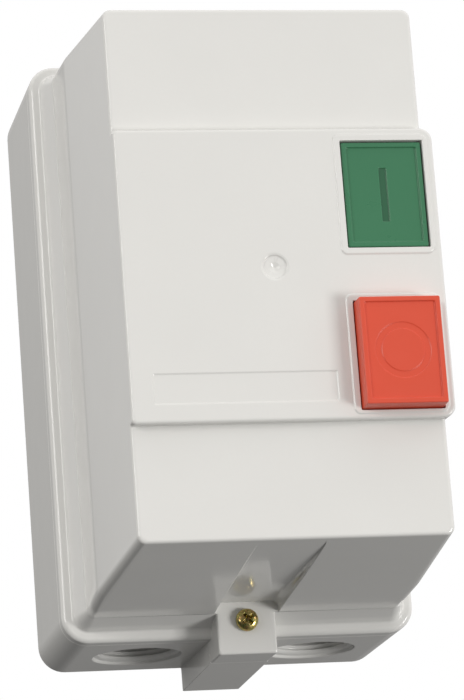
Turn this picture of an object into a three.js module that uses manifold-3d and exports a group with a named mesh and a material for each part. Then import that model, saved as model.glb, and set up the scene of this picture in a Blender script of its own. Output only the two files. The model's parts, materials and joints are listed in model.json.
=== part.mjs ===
// An enclosed direct-on-line motor starter: a contactor, a thermal overload relay and a start
// switch on a DIN rail, inside a two-part plastic wall enclosure with START and STOP buttons.
// Millimetres. +X is to the right, +Y goes back into the wall and +Z is up. The origin is at the
// centre of the back face, so the wall is the plane y = 0 and the front looks along -Y.
import * as THREE from "three";
import { mergeVertices } from "three/addons/utils/BufferGeometryUtils.js";
import Module from "manifold-3d";

const wasm = await Module();
wasm.setup();

// ---- Driving dimensions ----
const GAP = 0.3; // between pieces that touch
const BASE = { halfX: 47.7, halfZ: 80, rimY: -39.6, corner: 7, wall: 2.5, back: 3 };
const RIM = { width: 4, ledgeY: -35 }; // thickened edge of the tray, with the gasket groove
const GROOVE = { outer: 1, width: 1.8, depth: 2.6, detourX: 7.2, detourZ: -71.2 };
const COVER = {
  frontX: 40.35, frontZ: 69.45, frontY: -118.6, wall: 2.3, corner: 2.2, innerCorner: 1.2,
};
// Where the cover's walls meet its flange.
const FOOT = { x: 42.6, z: 74.9, y: -52, corner: 6, innerCorner: 3.7 };
const WAIST = { x: 42.8, z: 73.9, y: -72, corner: 1.5 }; // where their draft changes
// Steps of the cover's flange, as [distance from its outer edge, height over its back face].
const FLANGE = [[0, 0], [0, 3.2], [0.8, 4], [2.8, 4.3], [3.1, 5.2], [3.8, 5.9], [4.5, 7.6]];
const PANEL = { y: -121.2, right: 42.7, top: 36.4, bottom: -39.9, corner: 3.2, fadeY: -90 };
const OPENING = { x: 29, startZ: 18.8, stopZ: -23.5, width: 21.7, height: 28.4 };
const BEZEL = { border: 1.8, height: 0.4 };
const SLEEVE = { wall: 1.5, plateY: -108.5, endY: -106.5, holeR: 3.9 };
const FLANGE_Y = BASE.rimY - GAP;
const LUG = { halfX: 7.9, bottom: -85.9, rear: -86.4, top: -70, frontY: -52 };
const SCREW_Z = -77; // height of the cover screw
const INSERT = { radius: 3.25, bore: 2.1, endY: -31 };
const CHANNEL = { halfX: 8.6, frontY: -116.5, frontZ: -69.8, backZ: -72, skin: 2.2 };
const ENTRY = {
  x: 24, y: -20.8, radius: 9.9, mouth: 11.9, mouthDepth: 1.2, collar: 12.4, collarDepth: 6,
};
const MARK = { x: -1.1, z: 0 }; // round mark in the middle of the panel
const LABEL = { x: [-34.2, 12.6], z: [-34.9, -27.4], depth: 0.25 };
const HOOK = { x: 36, halfX: 3, neckZ: 73.2, thickness: 2.2, noseZ: 76.8, backY: -31 };
const WALL_HOLE = { x: 34, z: 64, radius: 2.4 };
const CAP = {
  gap: 0.3, draft: 0.2, wall: 1.6, skirtY: -113.5, rim: 1.2, recess: 0.5, mark: 0.3, startSunk: 0.3,
};
const STOP_PROUD = 5.3; // how far the STOP button stands out of the panel
const STEM_R = 3.5;
const START_STEM = { x: 30, tipY: -62.3 };
const STOP_STEM = { x: 27, tipY: -90.5, arm: 3, pad: 3.8 };
const STOP_PIN = { x: 13, z: -33, radius: 3.2 }; // the relay's stop button
const RAIL = { z: 33, x: [-30, 43], backY: -8.3, height: 7.2, halfZ: 17.5, brim: 4, sheet: 1 };
const RAIL_SCREWS = [-25.5, 39]; // X of the two screws
const UNIT_X = -1; // centre line of the contactor and the relay
const UNIT = { halfX: 22.4, midY: -46, frontY: -88, relayFrontY: -86 };
const POLES = [-14, 0, 14];
const RELAY_Z = -34;
const SWITCH_X = 30.6;
const SWITCH_SCREWS = [16, 7]; // heights of its two terminal screws
const TERMINAL_Z = 27.5; // height of the main clamp screws from the contactor's centre
const COIL_TERMINALS = [-15, 15];
const DIAL = { x: -12, z: -20, radius: 5.5 }; // the relay's current setting
const RESET_PIN = { x: 1, z: -38, radius: 3.4 };
const PULL = 5.3; // travel of the contactor's armature
const CORE_LEG_Y = -37; // front faces of the fixed core's legs
const CORE_YOKE = [-25.4, -18.6];
const ARMATURE_YOKE = [-46.8, -51.6];
const STRIP_Y = -55.4; // back of the contactor's terminal strips
const STRIP_T = 1.2;
const RELAY_STRIP_Y = -44.4;
const RELAY_TERMINAL_Z = -21; // height of the load screws from the relay's centre
const WIRE_R = 1.1;

// ---- Solids ----
const toSolid = (geometry) => {
  const bare = geometry.clone();
  bare.deleteAttribute("normal");
  bare.deleteAttribute("uv");
  const merged = mergeVertices(bare, 1e-4);
  return new wasm.Manifold(
    new wasm.Mesh({
      numProp: 3,
      vertProperties: merged.attributes.position.array,
      triVerts: new Uint32Array(merged.index.array),
    }),
  );
};

const toGeometry = (solid) => {
  const mesh = solid.getMesh();
  const geometry = new THREE.BufferGeometry();
  geometry.setAttribute("position", new THREE.BufferAttribute(mesh.vertProperties, 3));
  geometry.setIndex(new THREE.BufferAttribute(mesh.triVerts, 1));
  geometry.computeVertexNormals();
  return geometry;
};

const join = (first, ...rest) => rest.reduce((whole, piece) => whole.add(piece), first);
const cut = (first, ...rest) => rest.reduce((whole, piece) => whole.subtract(piece), first);

// A block between the given limits along X, Y and Z.
function block([x0, x1], [y0, y1], [z0, z1]) {
  const geometry = new THREE.BoxGeometry(x1 - x0, y1 - y0, z1 - z0);
  return toSolid(geometry.translate((x0 + x1) / 2, (y0 + y1) / 2, (z0 + z1) / 2));
}

const span = (centre, half) => [centre - half, centre + half];

// The interval between two distances from the origin, on the side 1 or -1 of it.
const onSide = (side, a, b) => [side * a, side * b].sort((p, q) => p - q);

// A round bar along Y.
function rod(x, z, radius, [y0, y1], sides = 24) {
  const geometry = new THREE.CylinderGeometry(radius, radius, y1 - y0, sides);
  return toSolid(geometry.translate(x, (y0 + y1) / 2, z));
}

// A body turned about an axis along Y or Z, from a closed profile of [radius, height] points.
function turned(profile, axis, [x, y, z], sides = 32) {
  const points = profile.map(([r, h]) => new THREE.Vector2(r, h));
  if (THREE.ShapeUtils.area(points) < 0) points.reverse();
  const geometry = new THREE.LatheGeometry(points, sides);
  if (axis === "z") geometry.rotateX(Math.PI / 2);
  return toSolid(geometry.translate(x, y, z));
}

// A prism along X whose outline is a list of [y, z] points, or along Y with [x, z] points,
// or along Z with [x, y] points.
const AXES = {
  x: new THREE.Matrix4().set(0, 0, 1, 0, 1, 0, 0, 0, 0, 1, 0, 0, 0, 0, 0, 1),
  y: new THREE.Matrix4().set(1, 0, 0, 0, 0, 0, -1, 0, 0, 1, 0, 0, 0, 0, 0, 1),
  z: new THREE.Matrix4(),
};
function prism(axis, outline, [low, high]) {
  const shape = new THREE.Shape(outline.map(([a, b]) => new THREE.Vector2(a, b)));
  const geometry = new THREE.ExtrudeGeometry(shape, { depth: high - low, bevelEnabled: false });
  geometry.translate(0, 0, axis === "y" ? -high : low);
  return toSolid(geometry.applyMatrix4(AXES[axis]));
}

// One section of a loft: a rectangle with round corners at depth y.
function section(y, [x0, x1], [z0, z1], leftR, rightR = leftR) {
  const corners = [
    [x1 - rightR, z0 + rightR, rightR, -Math.PI / 2],
    [x1 - rightR, z1 - rightR, rightR, 0],
    [x0 + leftR, z1 - leftR, leftR, Math.PI / 2],
    [x0 + leftR, z0 + leftR, leftR, Math.PI],
  ];
  const steps = 4;
  return corners.flatMap(([x, z, radius, start]) =>
    Array.from({ length: steps + 1 }, (_, i) => {
      const angle = start + ((Math.PI / 2) * i) / steps;
      return [x + radius * Math.cos(angle), y, z + radius * Math.sin(angle)];
    }),
  );
}
const centred = (y, halfX, halfZ, radius) => section(y, span(0, halfX), span(0, halfZ), radius);

// A closed skin through sections that are listed from the back to the front.
function loft(...sections) {
  const count = sections[0].length;
  const last = (sections.length - 1) * count;
  const index = [];
  for (let s = 0; s < last; s += count)
    for (let i = 0; i < count; i++) {
      const a = s + i;
      const b = s + ((i + 1) % count);
      index.push(a, b, a + count, b, b + count, a + count);
    }
  for (let i = 1; i < count - 1; i++) index.push(0, i + 1, i, last, last + i, last + i + 1);
  const geometry = new THREE.BufferGeometry();
  geometry.setAttribute("position", new THREE.Float32BufferAttribute(sections.flat(2), 3));
  geometry.setIndex(index);
  return toSolid(geometry);
}

// A coil spring along Y.
function coilSpring(x, z, radius, wireR, [y0, y1], turns) {
  class Helix extends THREE.Curve {
    getPoint(t, target = new THREE.Vector3()) {
      const angle = 2 * Math.PI * turns * t;
      const y = y0 + wireR + (y1 - y0 - 2 * wireR) * t;
      return target.set(x + radius * Math.cos(angle), y, z + radius * Math.sin(angle));
    }
  }
  return sweep(new Helix(), wireR, 5, 9 * turns);
}

// A round bar with the given number of sides along a curve.
function sweep(curve, radius, sides, steps) {
  const outline = Array.from({ length: sides }, (_, i) => {
    const angle = (2 * Math.PI * i) / sides;
    return new THREE.Vector2(radius * Math.cos(angle), radius * Math.sin(angle));
  });
  const options = { steps, bevelEnabled: false, extrudePath: curve };
  return toSolid(new THREE.ExtrudeGeometry(new THREE.Shape(outline), options));
}

// A pan-head screw with a cross recess. Its head sits on the plane y = seat and faces -Y.
function panScrew(x, z, seat, headR, headH, shankR, tipY) {
  const head = rod(x, z, headR, [seat - headH * 0.6, seat]);
  const dome = rod(x, z, headR * 0.8, [seat - headH, seat - headH * 0.5]);
  const shank = rod(x, z, shankR, [seat - 0.1, tipY], 16);
  const depth = [seat - headH - 1, seat - headH * 0.45];
  const long = headR * 0.5; // half length of the recess's wings
  const short = headR * 0.12;
  const cross = join(
    block(span(x, long), depth, span(z, short)),
    block(span(x, short), depth, span(z, long)),
  );
  return cut(join(head, dome, shank), cross);
}

// A clamp screw with its square washer, over a terminal strip whose front is at y = strip.
function clampScrew(x, z, strip) {
  const washer = block(span(x, 3.8), [strip - 2.8, strip - 1.8], span(z, 3.3));
  const shank = rod(x, z, 1.7, [strip - 2, strip + 0.9], 16);
  const head = rod(x, z, 3, [strip - 5.2, strip - 2.7]);
  const slot = block(span(x, 0.5), [strip - 6, strip - 4.3], span(z, 4));
  return cut(join(washer, shank, head), slot);
}

// Feet that grip the two brims of the DIN rail, for a body of the given half width.
function railFeet(halfX, centreX = 0) {
  const { halfZ } = RAIL;
  const front = RAIL.backY - RAIL.height;
  const behindBrim = front + RAIL.sheet + GAP;
  const claw = 2.6; // thickness of the part behind the brim
  const wide = span(centreX, halfX);
  const feet = [1, -1].flatMap((side) => {
    return [
      block(wide, [front - 1, behindBrim + claw], onSide(side, halfZ + GAP, halfZ + 4.5)),
      block(wide, [behindBrim, behindBrim + claw], onSide(side, halfZ - 1.2, halfZ + 0.5)),
    ];
  });
  return join(...feet);
}

// ---- The scene graph ----
const group = new THREE.Group();
const contactor = new THREE.Group();
contactor.position.set(UNIT_X, 0, RAIL.z);
const relay = new THREE.Group();
relay.position.set(UNIT_X, 0, RELAY_Z);
const startSwitch = new THREE.Group();
startSwitch.position.set(SWITCH_X, 0, RAIL.z);
group.add(contactor, relay, startSwitch);

const finish = {
  casing: [0xd9d8d3, 0.25, 0],
  green: [0x2f7a4c, 0.35, 0],
  red: [0xd63a22, 0.35, 0],
  blue: [0x2b5fa8, 0.4, 0],
  black: [0x26272a, 0.5, 0],
  grey: [0x8b8f92, 0.5, 0],
  ivory: [0xe4e0d2, 0.45, 0],
  rubber: [0x1c1c1c, 0.85, 0],
  zinc: [0xb99a4e, 0.35, 1],
  steel: [0xb4b6b8, 0.35, 1],
  spring: [0x9ea2a6, 0.3, 1],
  brass: [0xc2a04a, 0.35, 1],
  core: [0x5d6064, 0.55, 1],
  copper: [0xb4653a, 0.35, 1],
  wire: [0x23304a, 0.55, 0],
};

function add(parent, name, solid, look) {
  const [color, roughness, metalness] = finish[look];
  const material = new THREE.MeshStandardMaterial({ color, roughness, metalness });
  const mesh = new THREE.Mesh(toGeometry(solid), material);
  mesh.name = name;
  parent.add(mesh);
}

// ---- Enclosure ----
function rearBase() {
  const { halfX, halfZ, rimY, corner, wall, back } = BASE;
  const outer = loft(
    centred(0, halfX - 0.3, halfZ, corner),
    centred(rimY + 0.7, halfX, halfZ, corner),
    centred(rimY, halfX - 0.6, halfZ - 0.6, corner - 0.6),
  );
  const inner = loft(
    centred(-back, halfX - wall, halfZ - wall, corner - wall),
    centred(RIM.ledgeY + 2, halfX - wall, halfZ - wall, corner - wall),
    centred(RIM.ledgeY, halfX - RIM.width, halfZ - RIM.width, corner - RIM.width),
    centred(rimY - 1, halfX - RIM.width, halfZ - RIM.width, corner - RIM.width),
  );
  const groove = gasketLoop(0, [rimY - 1, rimY + GROOVE.depth]);
  const side = [[rimY, LUG.bottom], [0, LUG.rear], [0, LUG.top], [rimY, LUG.top]];
  const column = prism("x", side, span(0, LUG.halfX));
  const columnCore = block(span(0, LUG.halfX - 2.5), [-27, 1], [LUG.bottom + 2.5, LUG.top - 2.5]);
  const insertHole = rod(0, SCREW_Z, INSERT.radius + GAP, [rimY - 1, INSERT.endY + GAP]);
  const padFront = RAIL.backY + GAP;
  const pads = RAIL_SCREWS.map((x) => block(span(x, 4), [padFront, -back + 1], span(RAIL.z, 10)));
  const padHoles = RAIL_SCREWS.map((x) => rod(x, RAIL.z, 1.8, [padFront - 1, -1.2], 16));
  const wallHoles = [-1, 1].flatMap((sx) =>
    [-1, 1].map((sz) => rod(sx * WALL_HOLE.x, sz * WALL_HOLE.z, WALL_HOLE.radius, [-back - 1, 1])),
  );
  const entries = [-1, 1].flatMap((sx) => [-1, 1].map((sz) => cableEntry(sx * ENTRY.x, sz)));
  const collars = entries.map((entry) => entry.collar);
  const bores = entries.map((entry) => entry.bore);
  const solid = join(cut(outer, inner), column, ...pads, ...collars);
  return cut(solid, groove, columnCore, insertHole, ...padHoles, ...wallHoles, ...bores);
}

// The collar and the bore of a cable entry in the top (side 1) or the bottom (side -1) wall.
function cableEntry(x, side) {
  const inward = (profile) => profile.map(([radius, depth]) => [radius, -side * depth]);
  const place = (profile) => turned(inward(profile), "z", [x, ENTRY.y, side * BASE.halfZ]);
  return {
    collar: place([
      [0, 1],
      [ENTRY.collar, 1],
      [ENTRY.collar, ENTRY.collarDepth],
      [0, ENTRY.collarDepth],
    ]),
    bore: place([
      [0, -1],
      [ENTRY.mouth, -1],
      [ENTRY.mouth, 0],
      [ENTRY.radius, ENTRY.mouthDepth],
      [ENTRY.radius, ENTRY.collarDepth + 1],
      [0, ENTRY.collarDepth + 1],
    ]),
  };
}

// The gasket's groove, or the gasket itself when slack is taken off on both sides. It follows
// the tray's rim, and passes the cover screw on the inside.
function gasketLoop(slack, [y0, y1]) {
  const { outer, width, detourX, detourZ } = GROOVE;
  const at = (inset, y) =>
    centred(y, BASE.halfX - inset, BASE.halfZ - inset, BASE.corner - inset);
  const outside = loft(at(outer + slack, y1), at(outer + slack, y0));
  const inside = loft(at(outer + width - slack, y1 + 1), at(outer + width - slack, y0 - 1));
  const low = outer + slack - BASE.halfZ;
  const detour = block(span(0, detourX - slack), [y0, y1], [low, detourZ - slack]);
  const core = block(
    span(0, detourX - width + slack),
    [y0 - 1, y1 + 1],
    [low - 1, detourZ - width + slack],
  );
  return cut(join(cut(outside, inside), detour), core);
}

function cover() {
  const { frontX, frontZ, frontY, wall, innerCorner } = COVER;
  const { halfX, halfZ, corner } = BASE;
  const flange = FLANGE.map(([inset, rise]) =>
    centred(FLANGE_Y - rise, halfX - inset, halfZ - inset, corner - inset),
  );
  const edge = 1.1;
  const outer = loft(
    ...flange,
    centred(FOOT.y, FOOT.x, FOOT.z, FOOT.corner),
    centred(WAIST.y, WAIST.x, WAIST.z, WAIST.corner),
    centred(frontY + edge, frontX, frontZ, COVER.corner),
    centred(frontY, frontX - edge, frontZ - edge, COVER.corner - 0.8),
  );
  const inner = loft(
    centred(FLANGE_Y + 1, FOOT.x - wall, FOOT.z - wall, FOOT.innerCorner),
    centred(FOOT.y, FOOT.x - wall, FOOT.z - wall, FOOT.innerCorner),
    centred(WAIST.y, WAIST.x - wall, WAIST.z - wall, innerCorner),
    centred(frontY + wall, frontX - wall, frontZ - wall, innerCorner),
  );
  const tabTop = 1 - FOOT.z;
  const tab = join(
    block(span(0, LUG.halfX), [LUG.frontY, FLANGE_Y], [LUG.bottom, tabTop]),
    block(span(0, LUG.halfX + 2), [FLANGE_Y - 3, FLANGE_Y], [tabTop, LUG.top]),
  );
  const hooks = [-1, 1].map((side) => hook(side * HOOK.x));
  const openings = [OPENING.startZ, OPENING.stopZ];
  const shell = join(
    cut(join(outer, raisedPanel()), inner),
    channelSkin(),
    tab,
    ...hooks,
    ...openings.map(bezel),
    ...openings.map(sleeve),
  );
  const screwHole = rod(0, SCREW_Z, 2.2, [LUG.frontY - 1, FLANGE_Y + 1]);
  const stemHole = (x, z) => rod(x, z, SLEEVE.holeR, [SLEEVE.plateY - 2, SLEEVE.endY + 2]);
  return cut(
    shell,
    channel(),
    screwHole,
    ...openings.map(opening),
    stemHole(START_STEM.x, OPENING.startZ),
    stemHole(STOP_STEM.x, OPENING.stopZ),
    dimple(),
    labelRecess(),
  );
}

// The thicker middle of the front. It stands out on the right and fades into the side wall.
function raisedPanel() {
  const { y, right, top, bottom, corner, fadeY } = PANEL;
  const edge = 0.8;
  const left = -COVER.frontX;
  return loft(
    section(fadeY, [left + 1, COVER.frontX + 0.9], [bottom, top], 1, corner),
    section(y + edge, [left, right], [bottom, top], 1, corner),
    section(y, [left + edge, right - edge], [bottom + edge, top - edge], 1, corner - edge),
  );
}

// The low raised border round a button's opening.
function bezel(z) {
  const reachX = OPENING.width / 2 + BEZEL.border;
  const reachZ = OPENING.height / 2 + BEZEL.border;
  const rangeX = [OPENING.x - reachX, Math.min(OPENING.x + reachX, PANEL.right - 0.9)];
  const rangeZ = [Math.max(z - reachZ, PANEL.bottom + 0.9), Math.min(z + reachZ, PANEL.top - 0.9)];
  return loft(
    section(PANEL.y + 0.5, rangeX, rangeZ, 1.5, 2.3),
    section(PANEL.y - BEZEL.height, rangeX, rangeZ, 1.5, 2.3),
  );
}

// The box behind an opening that guides its button, with a plate that carries the spring.
function sleeve(z) {
  const rangeX = [OPENING.x - OPENING.width / 2 - SLEEVE.wall, COVER.frontX + 0.3];
  const rangeZ = span(z, OPENING.height / 2 + SLEEVE.wall);
  return block(rangeX, [COVER.frontY, SLEEVE.endY], rangeZ);
}

function opening(z) {
  const depth = [PANEL.y - 2, SLEEVE.plateY];
  return block(span(OPENING.x, OPENING.width / 2), depth, span(z, OPENING.height / 2));
}

// The sloping channel under the cover that leads a screwdriver to the cover screw.
function channel() {
  const { halfX, frontY, frontZ, backZ } = CHANNEL;
  const outline = [[frontY, -85], [LUG.frontY, -85], [LUG.frontY, backZ], [frontY, frontZ]];
  return prism("x", outline, span(0, halfX));
}

function channelSkin() {
  const { halfX, frontY, frontZ, backZ, skin } = CHANNEL;
  const backY = FOOT.y - 1;
  const outline = [
    [frontY - 1, frontZ + 0.5],
    [backY, 1 - FOOT.z],
    [backY, backZ + skin],
    [frontY - 1, frontZ + skin],
  ];
  return prism("x", outline, span(0, halfX + skin));
}

// A hook at the top of the cover that reaches behind the tray's rim.
function hook(x) {
  const { halfX, neckZ, thickness, noseZ, backY } = HOOK;
  const neck = block(span(x, halfX), [FLANGE_Y - 4, backY], [neckZ, neckZ + thickness]);
  const nose = block(span(x, halfX), [backY - 1.5, backY], [neckZ + 1, noseZ]);
  return join(neck, nose);
}

// The shallow round mark in the middle of the panel.
function dimple() {
  const profile = [[0, -1], [3.1, -1], [3.1, 0.5], [1.4, 0.6], [0, 1.4]];
  return turned(profile, "y", [MARK.x, PANEL.y, MARK.z], 24);
}

function labelRecess() {
  return block(LABEL.x, [PANEL.y - 1, PANEL.y + LABEL.depth], LABEL.z);
}

const gasket = () => gasketLoop(GAP, [BASE.rimY, BASE.rimY + GROOVE.depth - GAP]);

const coverScrew = () => panScrew(0, SCREW_Z, LUG.frontY - GAP, 3, 2.2, 1.8, -33.5);

function threadedInsert() {
  const length = [BASE.rimY + GAP, INSERT.endY];
  return cut(rod(0, SCREW_Z, INSERT.radius, length), rod(0, SCREW_Z, INSERT.bore, [-50, -20], 16));
}

// ---- Buttons, with y = 0 on the panel's face and z = 0 at the middle of the opening ----
const onPanel = (y) => y - PANEL.y;

function buttonCap(front, mark) {
  const halfX = OPENING.width / 2 - CAP.gap;
  const halfZ = OPENING.height / 2 - CAP.gap;
  const skirt = onPanel(CAP.skirtY);
  const faceX = halfX - CAP.draft;
  const faceZ = halfZ - CAP.draft;
  const outer = loft(
    centred(skirt, halfX, halfZ, 0.6),
    centred(front + 0.4, faceX, faceZ, 0.6),
    centred(front, faceX - 0.3, faceZ - 0.3, 0.4),
  );
  const inRim = [span(0, faceX - CAP.rim), [front - 1, front + CAP.recess], span(0, faceZ - CAP.rim)];
  const inSkirt = [span(0, halfX - CAP.wall), [front + 2.2, skirt + 1], span(0, halfZ - CAP.wall)];
  return cut(outer, block(...inRim), block(...inSkirt), mark(front + CAP.recess));
}

function startButton() {
  const front = CAP.startSunk;
  const bar = (floor) => block(span(0, 1), [floor - 1, floor + CAP.mark], span(0, 7.2));
  const stem = rod(START_STEM.x - OPENING.x, 0, STEM_R, [front + 2, onPanel(START_STEM.tipY)]);
  return join(buttonCap(front, bar), stem);
}

function stopButton() {
  const front = -STOP_PROUD;
  const circle = (floor) => {
    const depth = [floor - 1, floor + CAP.mark];
    return cut(rod(0, 0, 7.25, depth, 32), rod(0, 0, 5.5, depth, 32));
  };
  const stemX = STOP_STEM.x - OPENING.x;
  const tip = onPanel(STOP_STEM.tipY);
  const stem = rod(stemX, 0, STEM_R, [front + 2, tip]);
  const [padX, padZ, pad] = [STOP_PIN.x - OPENING.x, STOP_PIN.z - OPENING.stopZ, STOP_STEM.pad];
  const outline = [
    [padX - pad, padZ - pad],
    [padX + pad, padZ - pad],
    [stemX + pad, -pad],
    [stemX + pad, pad],
    [stemX - pad, pad],
    [padX - pad, padZ + pad],
  ];
  return join(buttonCap(front, circle), stem, prism("y", outline, [tip - STOP_STEM.arm, tip]));
}

function buttonSpring(stemX, front) {
  const range = [onPanel(SLEEVE.plateY) - GAP, front + 2.2 + GAP].sort((a, b) => a - b);
  return coilSpring(stemX - OPENING.x, 0, 5.1, 0.45, range, 5);
}

function retainer(stemX) {
  const depth = onPanel(SLEEVE.endY) + GAP;
  const profile = [[STEM_R + GAP, 0], [5.8, 0], [5.8, 1], [STEM_R + GAP, 1], [STEM_R + GAP, 0]];
  return turned(profile, "y", [stemX - OPENING.x, depth, 0], 24);
}

// ---- DIN rail ----
function dinRail() {
  const { backY: back, height, halfZ, brim, sheet, x, z } = RAIL;
  const front = back - height;
  const outside = halfZ - brim;
  const inside = outside - sheet;
  const outline = [
    [front, -halfZ], [front + sheet, -halfZ], [front + sheet, -outside], [back, -outside],
    [back, outside], [front + sheet, outside], [front + sheet, halfZ], [front, halfZ],
    [front, inside], [back - sheet, inside], [back - sheet, -inside], [front, -inside],
  ];
  const profile = prism("x", outline.map(([a, b]) => [a, b + z]), x);
  return cut(profile, ...RAIL_SCREWS.map((hole) => rod(hole, z, 2.2, [back - 3, back + 1])));
}

const railScrew = (x) => panScrew(x, RAIL.z, RAIL.backY - RAIL.sheet - GAP, 3.4, 2, 1.5, -2);

// ---- Contactor, with x = 0 and z = 0 on its centre line ----
const wide = span(0, UNIT.halfX);
const CONTACTOR = { backY: -16, baseHalfZ: 37, stepY: -64, housingHalfZ: 31, topHalfZ: 23 };
const MAGNET = { halfX: 17, slot: 12.2, leg: 5, halfZ: 7, space: 20 };
const COIL = { frontY: -41.1, backY: -26, flange: 1.2, tube: [6.6, 8.6], edge: [11.6, 15] };
const CARRIER = { plateY: -51.9, barBackY: -60.8, barY: -76, neck: 5.2 };
const TIP = { near: 9.5, far: 14.5 }; // distances of the contact tips from the centre line
const STRIP_END = 30.5;

function contactorBase() {
  const { backY, baseHalfZ } = CONTACTOR;
  const body = block(wide, [UNIT.midY, backY], span(0, baseHalfZ));
  const magnetSpace = block(span(0, MAGNET.space), [UNIT.midY - 1, backY - 2], span(0, 19));
  const pocketZ = [31.5, baseHalfZ + 1];
  const pockets = COIL_TERMINALS.map((x) => block(span(x, 4.5), [UNIT.midY - 1, -38], pocketZ));
  return cut(join(body, railFeet(UNIT.halfX)), magnetSpace, ...pockets);
}

function contactorHousing() {
  const { stepY, housingHalfZ, topHalfZ } = CONTACTOR;
  const stripFront = STRIP_Y + GAP;
  const lower = block(wide, [stepY, UNIT.midY - GAP], span(0, housingHalfZ));
  const upper = block(wide, [UNIT.frontY, stepY + 0.1], span(0, topHalfZ));
  const magnetSpace = block(span(0, MAGNET.space), [-53.2, UNIT.midY + 1], span(0, 19));
  const contactSpace = block(span(0, MAGNET.space + GAP), [-79, stripFront], span(0, 20));
  const neckHole = block(span(0, 8), [-56, -52], span(0, CARRIER.neck + 0.4));
  const noseHole = block(span(0, 6), [UNIT.frontY - 1, -78], span(0, 4));
  const terminals = POLES.flatMap((x) =>
    [-1, 1].flatMap((side) => [
      block(span(x, 5), [stepY - 1, stripFront], onSide(side, 23.5, housingHalfZ + 1)),
      block(span(x, 4.3), [STRIP_Y - 1.9, stripFront], onSide(side, 19, 24)),
    ]),
  );
  return cut(join(lower, upper), magnetSpace, contactSpace, neckHole, noseHole, ...terminals);
}

// An E-shaped stack of laminations whose legs end at y = legs. Its yoke is at y = yoke to back.
function eCore(legs, yoke, back) {
  const { halfX, slot, leg, halfZ } = MAGNET;
  const outline = [
    [-halfX, back], [-halfX, legs], [-slot, legs], [-slot, yoke], [-leg, yoke], [-leg, legs],
    [leg, legs], [leg, yoke], [slot, yoke], [slot, legs], [halfX, legs], [halfX, back],
  ];
  return prism("z", outline, span(0, halfZ));
}

function coilBobbin() {
  const { frontY, backY, flange, tube, edge } = COIL;
  const core = block(span(0, tube[0]), [frontY, backY], span(0, tube[1]));
  const ends = [[frontY, frontY + flange], [backY - flange, backY]];
  const flanges = ends.map((y) => block(span(0, edge[0]), y, span(0, edge[1])));
  const legHole = [span(0, MAGNET.leg + GAP), [frontY - 2, backY + 2], span(0, MAGNET.halfZ + GAP)];
  return cut(join(core, ...flanges), block(...legHole));
}

function coilWinding() {
  const { frontY, backY, flange, tube, edge } = COIL;
  const depth = [frontY + flange + GAP, backY - flange - GAP];
  const turns = block(span(0, edge[0] - 0.6), depth, span(0, edge[1] - 0.6));
  return cut(turns, block(span(0, tube[0] + GAP), [frontY, backY], span(0, tube[1] + GAP)));
}

// The moving carrier: a plate that holds the springs, a neck, a bar with windows and a nose.
function contactCarrier() {
  const { plateY, barBackY, barY, neck } = CARRIER;
  const wings = block(span(0, 6), [plateY - 1, plateY], span(0, 16.5));
  const middle = block(span(0, 7.6), [barBackY - 0.2, plateY], span(0, neck));
  const bar = block(span(0, 19.6), [barY, barBackY], span(0, neck));
  const nose = block(span(0, 5.5), [UNIT.frontY + 0.6, barY + 0.1], span(0, 3.6));
  const windows = POLES.map((x) => block(span(x, 3.6), [barY + 5, barBackY - 1.8], span(0, 6)));
  return cut(join(wings, middle, bar, nose), ...windows);
}

function movingContact(x) {
  const backY = CARRIER.barBackY - 4;
  const bridge = block(span(x, 3.2), [backY - STRIP_T, backY], span(0, TIP.far));
  const tips = [-1, 1].map((side) =>
    block(span(x, 3.1), [backY - 0.1, backY + 1.4], onSide(side, TIP.near, TIP.far)),
  );
  return join(bridge, ...tips);
}

// A fixed contact with its terminal. The side is 1 for the line end and -1 for the load end.
function terminalStrip(x, side) {
  const front = STRIP_Y - STRIP_T;
  const strip = block(span(x, 4), [front, STRIP_Y], onSide(side, 9, STRIP_END));
  const tip = block(span(x, 3.2), [front - STRIP_T, front + 0.2], onSide(side, TIP.near, TIP.far));
  return cut(join(strip, tip), rod(x, side * TERMINAL_Z, 2.1, [front - 2, STRIP_Y + 1], 16));
}

function coilTerminal(x) {
  const clamp = block(span(x, 3.4), [-43, -38.4], [32.4, 36.6]);
  const head = rod(x, 34.5, 2, [-45.4, -42.9], 16);
  return cut(join(clamp, head), block(span(x, 0.4), [-46, -44.6], [31, 38]));
}

const returnSpring = (z) => coilSpring(0, z, 2.6, 0.35, [CARRIER.plateY + GAP, COIL.frontY - GAP], 4);

// ---- Overload relay, with x = 0 and z = 0 on its centre line ----
const BIMETAL_SPACE = { y: [-72, -28], z: [-11.5, 25.5] };
const SHELF = { top: -14, bottom: -28, frontY: -54 }; // the lower step that holds the load screws

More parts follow.
